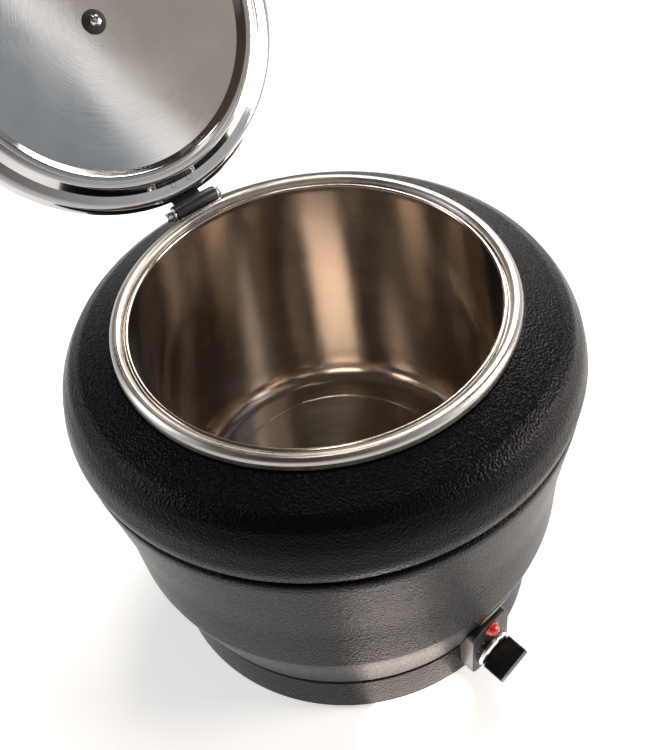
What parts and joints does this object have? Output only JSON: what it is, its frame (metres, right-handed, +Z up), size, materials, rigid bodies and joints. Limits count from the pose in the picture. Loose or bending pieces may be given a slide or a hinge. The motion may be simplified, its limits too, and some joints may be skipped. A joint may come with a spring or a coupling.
{
  "type": "electric soup kettle",
  "caption": "Electric countertop soup kettle: bulged black steel body on a base ring, heated well with a lift-out steel pot, hinged steel lid standing open, front thermostat knob and lamp.",
  "frame": {"origin": "on the table plane, on the vertical axis of the kettle, midway between the four feet", "axes": "+Z up along the kettle's axis, -Y out of the front, with the control turned 3.5 degrees from it towards +X, +Y to the rear where the lid hinge is, +X to the right seen from the front"},
  "size_m": [0.345, 0.4708, 0.4985],
  "materials": {
    "black_paint": "black hammer-texture powder coat, semi-gloss",
    "stainless": "spun and brushed stainless steel",
    "plated_steel": "zinc plated steel",
    "chrome": "polished",
    "aluminium": "mill finish",
    "black_plastic": "moulded, semi-gloss",
    "white_plastic": "moulded heat-resistant plastic",
    "red_lens": "clear red, polished",
    "rubber": "matt black rubber",
    "silicone": "red-brown silicone",
    "copper": "bare drawn copper",
    "brass": "bare machined brass",
    "label": "blank olive-gold foil",
    "brown_wire": "insulation",
    "blue_wire": "insulation",
    "green_wire": "insulation",
    "red_wire": "insulation"
  },
  "bodies": {
    "kettle": {"top_cover": "black_paint", "belly_shell": "black_paint", "base_ring": "black_paint", "base_plate": "plated_steel", "foot_screw_1": "plated_steel", "foot_screw_2": "plated_steel", "foot_screw_3": "plated_steel", "foot_screw_4": "plated_steel", "shield_post_1": "plated_steel", "shield_post_2": "plated_steel", "shield_post_3": "plated_steel", "thermostat_body": "plated_steel", "thermostat_nut": "plated_steel", "heating_element": "plated_steel", "clamp_stud": "plated_steel", "element_clamp": "plated_steel", "clamp_nut": "plated_steel", "foot_1": "rubber", "foot_2": "rubber", "foot_3": "rubber", "foot_4": "rubber", "heat_well": "stainless", "rim_gasket": "silicone", "heat_shield": "aluminium", "heat_spreader": "aluminium", "terminal_block": "white_plastic", "thermal_cutout": "white_plastic", "lamp_body": "white_plastic", "earth_stud": "brass", "cable_gland": "black_plastic", "gland_nut": "black_plastic", "control_bezel": "black_plastic", "indicator_lens": "red_lens", "thermostat_bulb": "copper", "capillary_tube": "copper", "label_plate": "label", "mains_live": "brown_wire", "thermostat_feed": "brown_wire", "mains_neutral": "blue_wire", "element_return": "blue_wire", "earth_lead": "green_wire", "element_feed": "red_wire"},
    "pot": {"inner_pot": "stainless"},
    "ring": {"lid_ring": "stainless", "hinge_bracket": "chrome", "hinge_pin": "plated_steel", "pin_nut": "plated_steel"},
    "lid": {"lid_pan": "stainless", "hinge_knuckle": "black_plastic", "lid_knob": "black_plastic", "knuckle_rivet_left": "plated_steel", "knuckle_rivet_right": "plated_steel", "lid_knob_screw": "plated_steel", "lid_knob_washer": "rubber"},
    "knob": {"control_knob": "black_plastic", "knob_skirt": "chrome", "thermostat_shaft": "plated_steel"}
  },
  "joints": [
    {"name": "pot_lift", "type": "slide", "parent": "kettle", "child": "pot", "axis": [0, 0, 1], "range_m": [0, 0.25]},
    {"name": "ring_lift", "type": "slide", "parent": "pot", "child": "ring", "axis": [0, 0, 1], "range_m": [0, 0.06]},
    {"name": "lid_hinge", "type": "hinge", "parent": "ring", "child": "lid", "pos_m": [0, 0.1377, 0.2807], "axis": [1, 0, 0], "range_deg": [0, 124.2]},
    {"name": "knob_turn", "type": "hinge", "parent": "kettle", "child": "knob", "pos_m": [0.00934, -0.15271, 0.0304], "axis": [-0.061, 0.9981, 0], "range_deg": [0, 270]}
  ]
}
